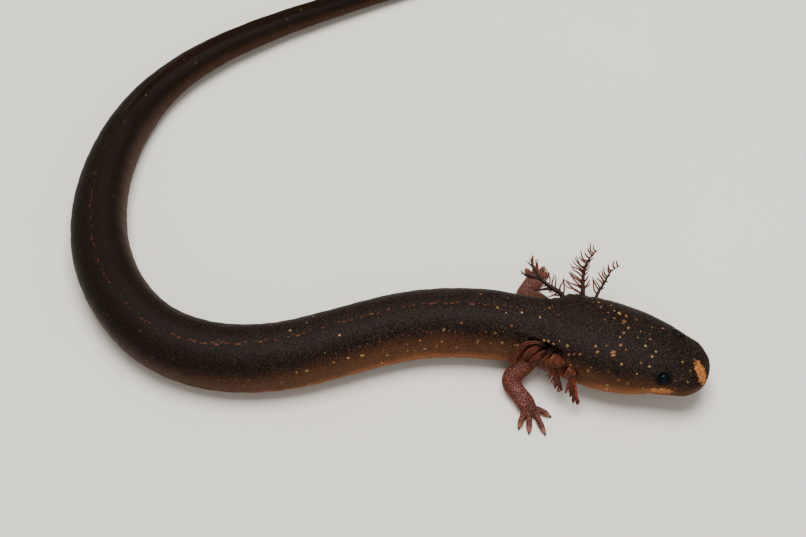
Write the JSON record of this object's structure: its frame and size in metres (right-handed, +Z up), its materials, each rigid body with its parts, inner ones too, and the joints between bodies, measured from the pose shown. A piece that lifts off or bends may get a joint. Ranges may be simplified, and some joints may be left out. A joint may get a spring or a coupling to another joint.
{
  "type": "lesser siren",
  "caption": "Life-size young lesser siren resting on its belly, eel-like, with small forelegs and feathery outside gills, its tail swept round.",
  "frame": {"origin": "middle of the animal's outline, on the floor it lies on", "axes": "+X to the side the snout points to, along the longest side; +Y away from the viewer of the pose; +Z up from the floor"},
  "size_m": [0.075, 0.0702, 0.0078],
  "materials": {
    "back_skin": "near-black brown moist skin with fine grain and small cream and orange flecks, soft satin",
    "throat_skin": "brown moist skin, satin",
    "limb_skin": "purplish-brown thin skin with a net of dark specks, satin",
    "fin_skin": "dark brown thin skin, satin",
    "gill_skin": "dark red-brown moist gill skin",
    "eye": "glossy blue-black"
  },
  "bodies": {
    "root": {"head": "back_skin", "neck": "back_skin", "torso_1": "back_skin", "torso_2": "back_skin", "torso_3": "back_skin", "torso_4": "back_skin", "tail_1": "back_skin", "tail_2": "back_skin", "tail_3": "back_skin", "tail_4": "back_skin", "lower_jaw": "throat_skin", "eye_left": "eye", "eye_right": "eye", "fin_upper_1": "fin_skin", "fin_lower_1": "fin_skin", "fin_upper_2": "fin_skin", "fin_lower_2": "fin_skin", "fin_upper_3": "fin_skin", "fin_lower_3": "fin_skin", "arm_left_upper": "limb_skin", "arm_left_fore": "limb_skin", "hand_left": "limb_skin", "gill_left_front": "gill_skin", "gill_left_middle": "gill_skin", "gill_left_rear": "gill_skin", "arm_right_upper": "limb_skin", "arm_right_fore": "limb_skin", "hand_right": "limb_skin", "gill_right_front": "gill_skin", "gill_right_middle": "gill_skin", "gill_right_rear": "gill_skin"}
  },
  "joints": []
}
